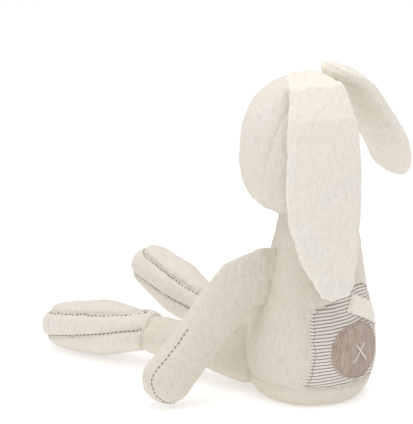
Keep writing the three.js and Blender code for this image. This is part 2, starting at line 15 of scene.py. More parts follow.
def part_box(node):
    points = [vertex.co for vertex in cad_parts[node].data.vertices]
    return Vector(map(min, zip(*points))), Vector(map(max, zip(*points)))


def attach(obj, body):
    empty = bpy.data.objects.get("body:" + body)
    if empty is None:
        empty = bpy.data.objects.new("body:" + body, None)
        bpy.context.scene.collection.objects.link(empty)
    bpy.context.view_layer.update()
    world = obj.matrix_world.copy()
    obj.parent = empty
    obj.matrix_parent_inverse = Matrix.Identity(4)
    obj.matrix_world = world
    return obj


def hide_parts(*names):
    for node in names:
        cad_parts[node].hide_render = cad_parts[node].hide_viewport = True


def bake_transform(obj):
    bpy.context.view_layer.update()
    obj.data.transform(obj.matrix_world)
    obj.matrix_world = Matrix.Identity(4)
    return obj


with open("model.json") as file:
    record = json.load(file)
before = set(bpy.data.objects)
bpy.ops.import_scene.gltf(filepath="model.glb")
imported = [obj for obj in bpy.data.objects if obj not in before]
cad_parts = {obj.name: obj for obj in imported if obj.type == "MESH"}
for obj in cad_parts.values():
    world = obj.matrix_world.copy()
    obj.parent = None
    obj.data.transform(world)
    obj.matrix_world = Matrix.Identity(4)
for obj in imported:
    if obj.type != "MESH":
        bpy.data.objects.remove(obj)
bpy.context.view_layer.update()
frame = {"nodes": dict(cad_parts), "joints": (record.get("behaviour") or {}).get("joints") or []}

MM = 0.001
SIDES = {"left": 1, "right": -1}

# ---------- camera, floor and light ----------

SENSOR = 0.036
LENS = 0.2
PICTURE_HEIGHT = 0.3986  # what the camera sees at the rabbit, from top to bottom
CAMERA_AZIMUTH = math.radians(128)
CAMERA_ELEVATION = math.radians(16)
AIM_RIGHT = -0.0964  # from the seat's centre, across the picture
AIM_UP = 0.1662
ROOM_LIGHT = 0.68  # how bright the white room is that lights the rabbit from all round
FLOOR_GLOW = 0.33  # keeps the floor as white as the room
FLOOR_SIZE = 4


def add_object(name, mesh):
    obj = bpy.data.objects.new(name, mesh)
    bpy.context.scene.collection.objects.link(obj)
    return obj


def make_camera():
    a, e = CAMERA_AZIMUTH, CAMERA_ELEVATION
    back = Vector((math.sin(a) * math.cos(e), -math.cos(a) * math.cos(e), math.sin(e)))
    right = Vector((math.cos(a), math.sin(a), 0))
    up = back.cross(right)
    camera = bpy.data.cameras.new("camera")
    camera.sensor_width = SENSOR / MM
    camera.lens = LENS / MM
    obj = add_object("camera", camera)
    distance = PICTURE_HEIGHT * LENS / SENSOR
    obj.location = right * AIM_RIGHT + up * AIM_UP + back * distance
    obj.rotation_mode = "QUATERNION"
    obj.rotation_quaternion = (-back).to_track_quat("-Z", "Y")
    bpy.context.scene.camera = obj


def make_area_light(name, place, size, watts, colour=(1, 1, 1)):
    """A soft square light that points at the rabbit's body."""
    light = bpy.data.lights.new(name, "AREA")
    light.size = size
    light.energy = watts
    light.color = colour
    obj = add_object(name, light)
    obj.location = place
    aim = Vector((0, -0.05, 0.12)) - Vector(place)
    obj.rotation_mode = "QUATERNION"
    obj.rotation_quaternion = aim.to_track_quat("-Z", "Y")


def make_studio():
    scene = bpy.context.scene
    scene.view_settings.view_transform = "Standard"
    world = bpy.data.worlds.new("studio")
    world.use_nodes = True
    nodes, links = world.node_tree.nodes, world.node_tree.links
    rays = nodes.new("ShaderNodeLightPath")
    strength = nodes.new("ShaderNodeMapRange")
    strength.inputs["To Min"].default_value = ROOM_LIGHT
    strength.inputs["To Max"].default_value = 1
    links.new(rays.outputs["Is Camera Ray"], strength.inputs["Value"])
    links.new(strength.outputs["Result"], nodes["Background"].inputs["Strength"])
    nodes["Background"].inputs["Color"].default_value = (1, 1, 1, 1)
    scene.world = world
    make_area_light("key", (0.1, 0.1, 1.6), 1.3, 13)
    make_area_light("fill", (1.3, -0.9, 0.7), 1.2, 3, (1, 0.985, 0.96))
    make_floor()


def make_floor():
    mesh = bpy.data.meshes.new("floor")
    shape = bmesh.new()
    bmesh.ops.create_grid(shape, x_segments=8, y_segments=8, size=FLOOR_SIZE)
    shape.to_mesh(mesh)
    shape.free()
    floor = add_object("floor", mesh)
    material, shader = new_material("floor_white")
    shader.inputs["Base Color"].default_value = (0.86, 0.87, 0.88, 1)
    shader.inputs["Roughness"].default_value = 0.3
    shader.inputs["Specular IOR Level"].default_value = 0.2
    shader.inputs["Emission Color"].default_value = (1, 1, 1, 1)
    shader.inputs["Emission Strength"].default_value = FLOOR_GLOW
    mesh.materials.append(material)


# ---------- materials ----------


def linear(red, green, blue):
    """A colour given as 0 to 255 values, as the shader takes it."""
    return tuple(((c / 255 + 0.055) / 1.055) ** 2.4 for c in (red, green, blue)) + (1,)


def new_material(name):
    material = bpy.data.materials.new(name)
    material.use_nodes = True
    return material, material.node_tree.nodes["Principled BSDF"]


class Nodes:
    """Short names for the few shader nodes that the cloths are made of."""

    def __init__(self, material):
        self.tree = material.node_tree
        self.place = self.tree.nodes.new("ShaderNodeTexCoord").outputs["Object"]

    def link(self, value, socket):
        if isinstance(value, bpy.types.NodeSocket):
            self.tree.links.new(value, socket)
        else:
            socket.default_value = value

    def stretched(self, scale, turn=(0, 0, 0)):
        node = self.tree.nodes.new("ShaderNodeMapping")
        self.tree.links.new(self.place, node.inputs["Vector"])
        node.inputs["Scale"].default_value = scale
        node.inputs["Rotation"].default_value = turn
        return node.outputs["Vector"]

    def noise(self, where, scale, detail=2.0, roughness=0.5, distortion=0.0):
        node = self.tree.nodes.new("ShaderNodeTexNoise")
        self.tree.links.new(where, node.inputs["Vector"])
        node.inputs["Scale"].default_value = scale
        node.inputs["Detail"].default_value = detail
        node.inputs["Roughness"].default_value = roughness
        node.inputs["Distortion"].default_value = distortion
        return node.outputs["Fac"]

    def ramp(self, value, *stops):
        node = self.tree.nodes.new("ShaderNodeValToRGB")
        self.tree.links.new(value, node.inputs["Fac"])
        points = node.color_ramp.elements
        while len(points) < len(stops):
            points.new(0.5)
        for point, (place, colour) in zip(points, stops):
            point.position = place
            point.color = colour
        return node.outputs["Color"]

    def mix(self, share, first, second, kind="MIX"):
        node = self.tree.nodes.new("ShaderNodeMix")
        node.data_type = "RGBA"
        node.blend_type = kind
        self.link(share, node.inputs[0])
        self.link(first, node.inputs[6])
        self.link(second, node.inputs[7])
        return node.outputs[2]

    def math(self, kind, first, second=0.0):
        node = self.tree.nodes.new("ShaderNodeMath")
        node.operation = kind
        self.link(first, node.inputs[0])
        self.link(second, node.inputs[1])
        return node.outputs[0]

    def split(self, where):
        node = self.tree.nodes.new("ShaderNodeSeparateXYZ")
        self.tree.links.new(where, node.inputs[0])
        return node.outputs

    def bump(self, height, distance, strength=1.0, onto=None):
        node = self.tree.nodes.new("ShaderNodeBump")
        node.inputs["Distance"].default_value = distance
        node.inputs["Strength"].default_value = strength
        self.tree.links.new(height, node.inputs["Height"])
        if onto is not None:
            self.tree.links.new(onto, node.inputs["Normal"])
        return node.outputs["Normal"]

    def weave(self, pitch):
        """Height of a plain weave: threads of `pitch` along X and Z, crossing over and under."""
        x, _, z = self.split(self.place)
        waves = [self.math("SINE", self.math("MULTIPLY", way, math.pi / pitch)) for way in (x, z)]
        return self.math("MULTIPLY", *waves)


def grey(value):
    return (value, value, value, 1)


def plush_material(name, colour, nap=(1, 1, 0.45)):
    """Short dense pile: brushed clumps and fibres, with painted shade in the pits between them, and a soft
    sheen.
    """
    material, shader = new_material(name)
    nodes = Nodes(material)
    brushed = nodes.stretched(nap)
    clumps = nodes.noise(brushed, 330, 3, 0.6, 0.3)
    fibres = nodes.noise(brushed, 1100, 2, 0.6)
    shading = nodes.noise(nodes.stretched((1, 1, 1)), 26, 3, 0.5)
    base = linear(*colour)
    # painted shade: a darker copy of the plush colour, laid into the pits between the clumps and between the
    # fibres where shade would fall
    painted_pit_shade = linear(*(c - 13 for c in colour))
    warm = linear(colour[0] - 2, colour[1] - 6, colour[2] - 12)
    # painted shade: the pits between the clumps take the darker colour
    shade = nodes.ramp(clumps, (0.3, painted_pit_shade), (0.58, base))
    shade = nodes.mix(nodes.ramp(shading, (0.35, grey(0)), (0.75, grey(0.5))), shade, warm)
    # painted shade: the gaps between the fibres take the darker colour
    shade = nodes.mix(nodes.ramp(fibres, (0.35, grey(0.25)), (0.65, grey(0))), shade, painted_pit_shade)
    nodes.link(shade, shader.inputs["Base Color"])
    rough = nodes.ramp(clumps, (0.3, grey(1)), (0.7, grey(0.82)))
    nodes.link(rough, shader.inputs["Roughness"])
    normal = nodes.bump(clumps, 0.9 * MM, 0.6)
    normal = nodes.bump(fibres, 0.35 * MM, 0.7, normal)
    nodes.link(normal, shader.inputs["Normal"])
    shader.inputs["Sheen Weight"].default_value = 0.35
    shader.inputs["Sheen Roughness"].default_value = 0.45
    shader.inputs["Sheen Tint"].default_value = linear(255, 246, 232)
    shader.inputs["Specular IOR Level"].default_value = 0.15
    return material


def ticking_material():
    """Off-white cotton with fine grey-brown stripes that climb towards the middle of the back."""
    material, shader = new_material("ticking")
    nodes = Nodes(material)
    x, _, z = nodes.split(nodes.place)
    wander = nodes.noise(nodes.place, 40, 1)
    level = nodes.math("ADD", z, nodes.math("MULTIPLY", nodes.math("ABSOLUTE", x), STRIPE_CLIMB))
    level = nodes.math("ADD", level, nodes.math("MULTIPLY", wander, 1.2 * MM))
    share = nodes.math("FRACT", nodes.math("DIVIDE", level, STRIPE_PITCH))
    dark = linear(140, 127, 117)
    pale = linear(232, 226, 218)
    shade = nodes.ramp(share, (0.0, pale), (0.28, pale), (0.36, dark), (0.6, dark), (0.68, pale))
    threads = nodes.noise(nodes.stretched((1, 1, 2.5)), 1500, 2, 0.6)
    shade = nodes.mix(nodes.ramp(threads, (0.4, grey(0.25)), (0.6, grey(0))), shade, linear(196, 186, 176))
    nodes.link(shade, shader.inputs["Base Color"])
    weave = nodes.weave(STRIPE_PITCH / 4)
    nodes.link(nodes.bump(weave, 0.12 * MM, 0.8), shader.inputs["Normal"])
    nodes.link(nodes.ramp(threads, (0.3, grey(0.8)), (0.7, grey(0.95))), shader.inputs["Roughness"])
    shader.inputs["Specular IOR Level"].default_value = 0.2
    return material


def woven_material(name, colour, pitch, depth, roughness=0.85):
    """Plain cloth or tape: a square weave over a slightly uneven colour."""
    material, shader = new_material(name)
    nodes = Nodes(material)
    uneven = nodes.noise(nodes.place, 300, 3, 0.6)
    shade = nodes.ramp(uneven, (0.3, linear(*(c - depth for c in colour))), (0.7, linear(*colour)))
    nodes.link(shade, shader.inputs["Base Color"])
    nodes.link(nodes.bump(nodes.weave(pitch), 0.2 * MM, 0.8), shader.inputs["Normal"])
    rough = nodes.ramp(uneven, (0.3, grey(min(1, roughness + 0.1))), (0.7, grey(roughness)))
    nodes.link(rough, shader.inputs["Roughness"])
    return material


def felt_material():
    """Brown wool felt with faint upright ribs and loose paler fibres."""
    material, shader = new_material("felt")
    nodes = Nodes(material)
    ribs = nodes.noise(nodes.stretched((1, 1, 0.12)), 520, 2, 0.6)
    fibres = nodes.noise(nodes.place, 1400, 3, 0.7)
    cloudy = nodes.noise(nodes.place, 70, 2)
    shade = nodes.ramp(ribs, (0.32, linear(158, 138, 124)), (0.66, linear(190, 172, 160)))
    shade = nodes.mix(nodes.ramp(fibres, (0.45, grey(0)), (0.7, grey(0.6))), shade, linear(206, 190, 179))
    shade = nodes.mix(nodes.ramp(cloudy, (0.4, grey(0)), (0.7, grey(0.3))), shade, linear(150, 131, 118))
    nodes.link(shade, shader.inputs["Base Color"])
    normal = nodes.bump(ribs, 0.5 * MM, 0.5)
    nodes.link(nodes.bump(fibres, 0.25 * MM, 0.8, normal), shader.inputs["Normal"])
    nodes.link(nodes.ramp(fibres, (0.3, grey(1)), (0.7, grey(0.88))), shader.inputs["Roughness"])
    shader.inputs["Sheen Weight"].default_value = 0.2
    shader.inputs["Specular IOR Level"].default_value = 0.1
    return material


def thread_material(name, colour, roughness=0.75):
    """Twisted thread: fine slanting ridges along each stitch."""
    material, shader = new_material(name)
    nodes = Nodes(material)
    twist = nodes.noise(nodes.stretched((1, 1, 1), (0.6, 0.4, 0.3)), 2600, 1)
    shade = nodes.ramp(twist, (0.35, linear(*(c - 26 for c in colour))), (0.65, linear(*colour)))
    nodes.link(shade, shader.inputs["Base Color"])
    nodes.link(nodes.bump(twist, 0.2 * MM, 0.9), shader.inputs["Normal"])
    nodes.link(nodes.ramp(twist, (0.3, grey(1)), (0.7, grey(roughness))), shader.inputs["Roughness"])
    return material


def plastic_material(name, colour, roughness):
    """Moulded plastic with faint flow marks and handling haze."""
    material, shader = new_material(name)
    nodes = Nodes(material)
    haze = nodes.noise(nodes.place, 500, 3, 0.6)
    shade = nodes.ramp(haze, (0.3, linear(*colour)), (0.8, linear(*(c + 8 for c in colour))))
    nodes.link(shade, shader.inputs["Base Color"])
    rough = nodes.ramp(haze, (0.4, grey(roughness)), (0.8, grey(roughness + 0.12)))
    nodes.link(rough, shader.inputs["Roughness"])
    nodes.link(nodes.bump(haze, 0.02 * MM, 0.4), shader.inputs["Normal"])
    return material


def make_materials():
    return {
        "plush": plush_material("plush", (222, 215, 203)),
        "pale_plush": plush_material("pale_plush", (227, 220, 211)),
        "ear_plush": plush_material("ear_plush", (236, 230, 220)),
        "ticking": ticking_material(),
        "felt": felt_material(),
        "tape": woven_material("tape", (248, 240, 228), 0.8 * MM, 14),
        "pale_thread": thread_material("pale_thread", (246, 241, 233)),
        "grey_thread": thread_material("grey_thread", (150, 138, 128)),
        "dark_thread": thread_material("dark_thread", (128, 112, 100)),
        "nose_thread": thread_material("nose_thread", (176, 143, 125), 0.5),
        "eye_plastic": plastic_material("eye_plastic", (22, 17, 14), 0.1),
        "washer_plastic": plastic_material("washer_plastic", (226, 224, 218), 0.45),
    }


# ---------- points and surfaces ----------


def coordinates(obj):
    flat = np.empty(3 * len(obj.data.vertices))
    obj.data.vertices.foreach_get("co", flat)
    return flat.reshape(-1, 3)


def outward(obj):
    flat = np.empty(3 * len(obj.data.vertices))
    obj.data.vertices.foreach_get("normal", flat)
    return flat.reshape(-1, 3)


def move_points(obj, points):
    obj.data.vertices.foreach_set("co", np.asarray(points, float).ravel())
    obj.data.update()


def eased(share):
    """0 to 1 with a soft start and end."""
    share = np.clip(share, 0, 1)
    return share * share * (3 - 2 * share)


def surface_of(obj):
    return BVHTree.FromObject(obj, bpy.context.evaluated_depsgraph_get())


def cad_shape(nodes):
    shape = bmesh.new()
    for name in nodes:
        shape.from_mesh(frame["nodes"][name].data)
    return shape


def cad_surface(nodes):
    shape = cad_shape(nodes)
    tree = BVHTree.FromBMesh(shape)
    shape.free()
    return tree


def edge_points(node, step):
    """Points every `step` along the edges of a CAD node."""
    mesh = frame["nodes"][node].data
    found = []
    for edge in mesh.edges:
        start, end = (mesh.vertices[i].co for i in edge.vertices)
        count = max(1, math.ceil((end - start).length / step))
        found += [start.lerp(end, i / count) for i in range(count + 1)]
    return found


def nearness(points, targets):
    """The distance from each point to the nearest target."""
    if not targets:
        return np.full(len(points), 1.0)
    tree = KDTree(len(targets))
    for i, target in enumerate(targets):
        tree.insert(target, i)
    tree.balance()
    return np.array([tree.find(point)[2] for point in points])


def lumps(points, size, seed):
    """Smooth random values from -1 to 1 that change over about `size` metres."""
    cells = 32
    lattice = np.random.default_rng(seed).uniform(-1, 1, (cells,) * 3)
    scaled = points / size
    base = np.floor(scaled).astype(int)
    part = eased(scaled - base)
    total = np.zeros(len(points))
    for corner in np.ndindex(2, 2, 2):
        weight = np.prod(np.where(corner, part, 1 - part), axis=1)
        x, y, z = ((base + corner) % cells).T
        total += weight * lattice[x, y, z]
    return total


def even_path(points, step, closed):
    """The same path with a point about every `step`."""
    path = np.array(points, float)
    if closed:
        path = np.vstack([path, path[:1]])
    lengths = np.linalg.norm(np.diff(path, axis=0), axis=1)
    run = np.concatenate([[0], np.cumsum(lengths)])
    count = max(2, round(run[-1] / step))
    marks = np.linspace(0, run[-1], count + 1)
    even = np.column_stack([np.interp(marks, run, path[:, i]) for i in range(path.shape[1])])
    return even[:-1] if closed else even


def rounded(path, closed, times=4):
    """Irons the kinks out of a path."""
    path = np.array(path, float)
    for _ in range(times):
        before, after = np.roll(path, 1, axis=0), np.roll(path, -1, axis=0)
        calm = (before + 2 * path + after) / 4
        if not closed:
            calm[0], calm[-1] = path[0], path[-1]
        path = calm
    return path


SLICES = 90  # that the points of a thread are sorted into, round its middle
WIDEST_GAP = 24  # degrees, in a thread that still counts as a closed ring


def thread_path(node, step=2 * MM):
    """The line that a CAD thread follows, found by sorting its points round their middle."""
    cloud = np.array(edge_points(node, MM))
    middle = cloud.mean(0)
    _, _, axes = np.linalg.svd(cloud - middle, full_matrices=False)
    flat = (cloud - middle) @ axes[:2].T
    angle = np.arctan2(flat[:, 1], flat[:, 0])
    which = ((angle + math.pi) / (2 * math.pi) * SLICES).astype(int) % SLICES
    filled = [i for i in range(SLICES) if (which == i).any()]
    gaps = [(filled[(k + 1) % len(filled)] - filled[k]) % SLICES for k in range(len(filled))]
    widest = int(np.argmax(gaps))
    closed = gaps[widest] * 360 / SLICES < WIDEST_GAP
    order = filled[widest + 1 :] + filled[: widest + 1]
    line = [cloud[which == i].mean(0) for i in order]
    return even_path(rounded(line, closed), step, closed), closed


SEAM_SIDE = 8 * MM  # how far beside a seam the skin is clear of its groove
DROP = 12 * MM  # from where a path is dropped onto a skin


def onto(path, surface, closed):
    """A path dropped straight onto a skin, with its outward directions; the seam's groove is ignored."""
    path = np.array(path)

    def facing(spots):
        return np.array([surface.find_nearest(Vector(spot))[1] for spot in spots])

    ahead = np.gradient(path, axis=0)
    across = np.cross(ahead, rounded(facing(path), closed, 12))
    across *= SEAM_SIDE / np.linalg.norm(across, axis=1, keepdims=True)
    normals = rounded(facing(path + across) + facing(path - across), closed, 12)
    normals /= np.linalg.norm(normals, axis=1, keepdims=True)
    places = []
    for point, normal in zip(path, normals):
        out = Vector(normal)
        hit, _, _, _ = surface.ray_cast(Vector(point) + DROP * out, -out, 2 * DROP)
        places.append(hit or surface.find_nearest(Vector(point))[0])
    return np.array(places), normals


# ---------- soft bodies ----------

VOXEL = 4 * MM
LEVELS = 2  # of subdivision
PUFF_FRAMES = 18
TOUCHING = 0.6 * MM  # between two panels that are sewn together
UNDER_SKIN = 2.2 * MM  # how far inside a skin a seam's edge may lie
GROOVE = 2.2 * MM  # half the width of a seam's groove
HOLLOW = 7 * MM  # half the width of the shallow hollow round it


def apply_modifiers(obj):
    mesh = bpy.data.meshes.new_from_object(obj.evaluated_get(bpy.context.evaluated_depsgraph_get()))
    obj.modifiers.clear()
    obj.data = mesh


def largest_island(shape):
    """Deletes everything but the largest connected skin."""
    unseen, islands = set(shape.verts), []
    while unseen:
        first = unseen.pop()
        island, front = {first}, [first]
        while front:
            vertex = front.pop()
            for link in vertex.link_edges:
                other = link.other_vert(vertex)
                if other in unseen:
                    unseen.discard(other)
                    island.add(other)
                    front.append(other)
        islands.append(island)
    keep = max(islands, key=len)
    bmesh.ops.delete(shape, geom=[v for v in shape.verts if v not in keep], context="VERTS")


def mould(name, panels, inside, hulled):
    """One closed skin round a body's CAD cloth and stuffing; `hulled` bridges the sockets in the cloth."""
    shape = cad_shape(panels)
    if hulled:
        made = bmesh.ops.convex_hull(shape, input=shape.verts)
        spare = set(made["geom_interior"]) | set(made["geom_unused"])
        spare = [item for item in spare if isinstance(item, bmesh.types.BMVert)]
        bmesh.ops.delete(shape, geom=spare, context="VERTS")
    for node in inside:
        shape.from_mesh(frame["nodes"][node].data)
    mesh = bpy.data.meshes.new(name)
    shape.to_mesh(mesh)
    outer = BVHTree.FromBMesh(shape)
    shape.free()
    obj = add_object(name, mesh)
    remesh = obj.modifiers.new("remesh", "REMESH")
    remesh.mode = "VOXEL"
    remesh.voxel_size = VOXEL
    smooth = obj.modifiers.new("smooth", "SMOOTH")
    smooth.iterations = 6
    apply_modifiers(obj)
    shape = bmesh.new()
    shape.from_mesh(obj.data)
    largest_island(shape)
    shape.to_mesh(obj.data)
    shape.free()
    refill(obj, outer)
    return obj


def refill(obj, outer):
    """Moves a smoothed skin back out to the shape that it was smoothed from."""
    points, normals = coordinates(obj), outward(obj)
    rise = []
    for point, normal in zip(points, normals):
        place, _, _, _ = outer.ray_cast(Vector(point), Vector(normal), 2 * VOXEL)
        rise.append((place - Vector(point)).length if place is not None else 0)
    move_points(obj, points + normals * (np.minimum(rise, VOXEL) + 0.4 * MM)[:, None])
    calm = obj.modifiers.new("calm", "SMOOTH")
    calm.iterations = 1
    calm.factor = 0.4
    apply_modifiers(obj)


def seam_points(panels, skin):
    """Where neighbouring cloth panels meet on the outside of a soft body."""
    trees = {name: cad_surface([name]) for name in panels}
    found = []
    for name in panels:
        others = [tree for other, tree in trees.items() if other != name]
        for point in edge_points(name, 2 * MM):
            if not any(tree.find_nearest(point, TOUCHING)[0] for tree in others):
                continue
            place, normal, _, _ = skin.find_nearest(point)
            if (point - place).dot(normal) > -UNDER_SKIN:
                found.append(place)
    return found


def puff(obj, away, cap=4 * MM):
    """Blows the stuffed cloth out between its seams, with the seams held, by no more than `cap`."""
    rest = coordinates(obj)
    slack = 0.8 * MM * eased(away / (12 * MM))
    move_points(obj, rest - outward(obj) * slack[:, None])
    held = obj.vertex_groups.new(name="seams")
    for index, grip in enumerate(1 - eased((away - 2 * MM) / (6 * MM))):
        if grip > 0:
            held.add([index], float(grip), "REPLACE")
    modifier = obj.modifiers.new("puff", "CLOTH")
    settings = modifier.settings
    settings.use_pressure = True
    settings.uniform_pressure_force = 4
    settings.vertex_group_mass = held.name
    settings.effector_weights.gravity = 0
    settings.tension_stiffness = 20
    settings.compression_stiffness = 20
    settings.bending_stiffness = 1.5
    settings.quality = 4
    modifier.point_cache.frame_start = 1
    modifier.point_cache.frame_end = PUFF_FRAMES
    for number in range(1, PUFF_FRAMES + 1):
        bpy.context.scene.frame_set(number)
    apply_modifiers(obj)
    obj.vertex_groups.clear()
    moved = coordinates(obj) - rest
    length = np.linalg.norm(moved, axis=1, keepdims=True)
    moved *= np.minimum(1, cap / np.maximum(length, 1e-9))
    move_points(obj, rest + moved)
    bpy.context.scene.frame_set(1)


def tuck(obj, skin, pivot, within=46 * MM, reach=13 * MM, depth=3 * MM):
    """Gathers the sewn end of a limb onto the body it is sewn to."""
    points = coordinates(obj)
    for i, point in enumerate(points):
        if (Vector(point) - pivot).length > within:
            continue
        place, normal, _, distance = skin.find_nearest(Vector(point))
        if (Vector(point) - place).dot(normal) < 0 or distance > reach:
            continue
        pull = float(eased(1.25 * (1 - distance / reach)))
        points[i] += (np.array(place - normal * depth) - point) * pull
    move_points(obj, points)


def subdivide(obj, levels):
    subsurf = obj.modifiers.new("subsurf", "SUBSURF")
    subsurf.levels = levels
    subsurf.render_levels = levels
    apply_modifiers(obj)


def nap(obj, seams, seed, flow, seam_depth):
    """Dents in the stuffing, grooves along the seams, and the waves of the pile."""
    points, normals = coordinates(obj), outward(obj)
    away = nearness(points, seams)
    brushed = points * np.array(flow)
    rise = 0.9 * MM * lumps(points, 34 * MM, seed)
    rise += 0.4 * MM * lumps(points, 13 * MM, seed + 1)
    rise += 0.35 * MM * lumps(brushed, 4.5 * MM, seed + 2)
    rise += 0.22 * MM * lumps(brushed, 2.2 * MM, seed + 3)
    rise -= seam_depth * np.exp(-((away / GROOVE) ** 2))
    rise -= seam_depth / 2 * np.exp(-((away / HOLLOW) ** 2))
    move_points(obj, points + normals * rise[:, None])


def flatten(obj):
    """Presses a soft body flat where it lies on the floor."""
    points = coordinates(obj)
    points[:, 2] = np.maximum(points[:, 2], 0)
    move_points(obj, points)


def dress(obj, slot, material=None):
    """Gives a piece its material and its material slot, with smooth shading."""
    obj.data.materials.clear()
    obj.data.materials.append(cloth[material or slot])
    for face in obj.data.polygons:
        face.use_smooth = True
    return obj


def soft_body(name, panels, inside, seed, hulled=False, sewn_to=None, flow=(1, 1, 0.55), seam_depth=1.4 * MM):
    """A stuffed plush body; `sewn_to` is what `tuck` gathers its root onto, and `flow` how its pile lies."""
    obj = mould(name, panels, inside, hulled)
    seams = seam_points(panels, surface_of(obj))
    puff(obj, nearness(coordinates(obj), seams))
    if sewn_to is not None:
        tuck(obj, *sewn_to)
    subdivide(obj, LEVELS)
    nap(obj, seams, seed, flow, seam_depth)
    flatten(obj)
    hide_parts(*panels, *inside)
    return obj


# ---------- threads and patches ----------


def mesh_object(name, points, faces):
    mesh = bpy.data.meshes.new(name)
    mesh.from_pydata([tuple(p) for p in points], [], faces)
    mesh.update()
    return add_object(name, mesh)


def grid_faces(rows, count, closed=True):
    """Faces between rows of points, `count` to a row; a closed row joins up with its own start."""
    columns = range(count if closed else count - 1)
    starts = [(row * count + k, row * count + (k + 1) % count) for row in range(rows - 1) for k in columns]
    return [(a, b, b + count, a + count) for a, b in starts]


def turned_out(obj):
    """Turns the faces of a new mesh the same way, to the back of the rabbit if it is open."""
    shape = bmesh.new()
    shape.from_mesh(obj.data)
    bmesh.ops.remove_doubles(shape, verts=shape.verts, dist=0.01 * MM)
    bmesh.ops.recalc_face_normals(shape, faces=shape.faces)
    if any(edge.is_boundary for edge in shape.edges):
        if sum(face.normal.y * face.calc_area() for face in shape.faces) < 0:
            bmesh.ops.reverse_faces(shape, faces=shape.faces)
    shape.to_mesh(obj.data)
    shape.free()
    return obj


def tube(path, radii, sides=6):
    """Points and faces of a closed tube along a path, whose radius changes along it."""
    path = np.array(path, float)
    forward = np.gradient(path, axis=0)
    forward /= np.linalg.norm(forward, axis=1, keepdims=True)
    start = np.array([0.0, 0.0, 1.0]) if abs(forward[0][2]) < 0.9 else np.array([1.0, 0.0, 0.0])
    points = []
    for centre, ahead, radius in zip(path, forward, radii):
        side = np.cross(ahead, start)
        side /= np.linalg.norm(side)
        over = np.cross(side, ahead)
        for k in range(sides):
            turn = 2 * math.pi * k / sides
            points.append(centre + radius * (math.cos(turn) * side + math.sin(turn) * over))
    faces = grid_faces(len(path), sides)
    faces.append(tuple(reversed(range(sides))))
    last = (len(path) - 1) * sides
    faces.append(tuple(range(last, last + sides)))
    return points, faces


def threads(name, paths, radius):
    """One piece made of many short threads, thinner at both ends of each."""
    points, faces = [], []
    for path in paths:
        share = np.linspace(0, 1, len(path))
        radii = radius * (0.45 + 0.55 * np.sin(math.pi * share) ** 0.5)
        more_points, more_faces = tube(path, radii)
        faces += [tuple(i + len(points) for i in face) for face in more_faces]
        points += more_points
    return mesh_object(name, points, faces)


def running_stitch(name, path, closed, skin, length=3.4 * MM, gap=1.3 * MM, radius=0.5 * MM):
    """Even stitches along a path on a soft body; both ends of each dive into the pile."""
    steps = 5
    fine = even_path(path, (length + gap) / (steps + 2), closed)
    places, normals = onto(fine, skin, closed)
    places = rounded(places, closed, 3)
    stitches = []
    for first in range(0, len(places) - steps, steps + 2):
        share = np.linspace(0, 1, steps + 1)
        lifted = (np.sin(math.pi * share) * 1.1 - 0.6)[:, None] * radius
        rows = slice(first, first + steps + 1)
        stitches.append(places[rows] + normals[rows] * lifted)
    return threads(name, stitches, radius)


def outline_of(node, step, inset=0.0):
    """The outline of a CAD node seen along Y, as (x, z) points `step` apart, drawn in by `inset`."""
    flat = [Vector((v.co.x, v.co.z)) for v in frame["nodes"][node].data.vertices]
    hull = np.array([flat[i] for i in convex_hull_2d(flat)])
    ring = even_path(hull, step, True)
    middle = ring.mean(0)
    away = ring - middle
    return middle + away * (1 - inset / np.linalg.norm(away, axis=1, keepdims=True))


def seen_from(side, skin, spot, rise):
    """The place on a skin behind (+1) or in front (-1) of the rabbit at (x, z), `rise` above it."""
    origin = Vector((spot[0], side * 0.3, spot[1]))
    place, normal, _, _ = skin.ray_cast(origin, Vector((0, -side, 0)))
    return np.array(place + normal * rise)


def patch(name, ring, skin, rows, rise, side=1):
    """Cloth inside an outline, laid on a skin. `rise` gives its height for a share of the way to its edge."""
    middle = ring.mean(0)
    points = [seen_from(side, skin, middle, rise(0.0))]
    count = len(ring)
    for row in range(1, rows + 1):
        share = row / rows
        spots = middle + (ring - middle) * share
        points += [seen_from(side, skin, spot, rise(share)) for spot in spots]
    faces = [(0, 1 + (k + 1) % count, 1 + k) for k in range(count)]
    faces += [tuple(1 + i for i in face) for face in grid_faces(rows, count)]
    return turned_out(mesh_object(name, points, faces))


def thicken(obj, thickness):
    solidify = obj.modifiers.new("thickness", "SOLIDIFY")
    solidify.thickness = thickness
    solidify.offset = -1
    apply_modifiers(obj)


# ---------- the pieces ----------

STRIPE_PITCH = 3.2 * MM
STRIPE_CLIMB = 0.12  # of each stripe towards the middle of the back
PANEL_RISE = 0.7 * MM  # of the back panel's cloth over the torso's skin
FELT_THICKNESS = 2.2 * MM
TAPE_THICKNESS = 0.9 * MM
HEAD_RADIUS = 56 * MM
EYE_RADIUS = 4.6 * MM
EYE_DOME = 3.4 * MM
EYE_STANDS_OUT = 1.6 * MM  # of the face, into which its shank pulls it


def ride(obj, body):
    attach(obj, body)
    return obj


def joint_place(name):
    return Vector(next(j for j in frame["joints"] if j["name"] == name)["pos_m"])


def node_middle(node):
    low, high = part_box(node)
    return (low + high) / 2


def make_torso(head_skin):
    panels = ["left_body_panel", "right_body_panel", "base_panel", "striped_back_panel"]
    neck = joint_place("head_nod")
    obj = soft_body(
        "torso_plush", panels, ["torso_stuffing", "neck_stuffing"], 10, hulled=True,
        sewn_to=(head_skin, neck, 60 * MM, 22 * MM),
    )
    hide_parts("bean_bag")
    dress(obj, "plush")
    return obj


def panel_height(share):
    """The back panel's cloth over the skin; its edge is turned in."""
    return PANEL_RISE - 2.2 * MM * eased((share - 0.965) / 0.035)


def felt_height(share):
    """The felt tail's outer face over the skin, with a rounded edge."""
    return PANEL_RISE + FELT_THICKNESS * (1 - max(0, (share - 0.93) / 0.07) ** 3)


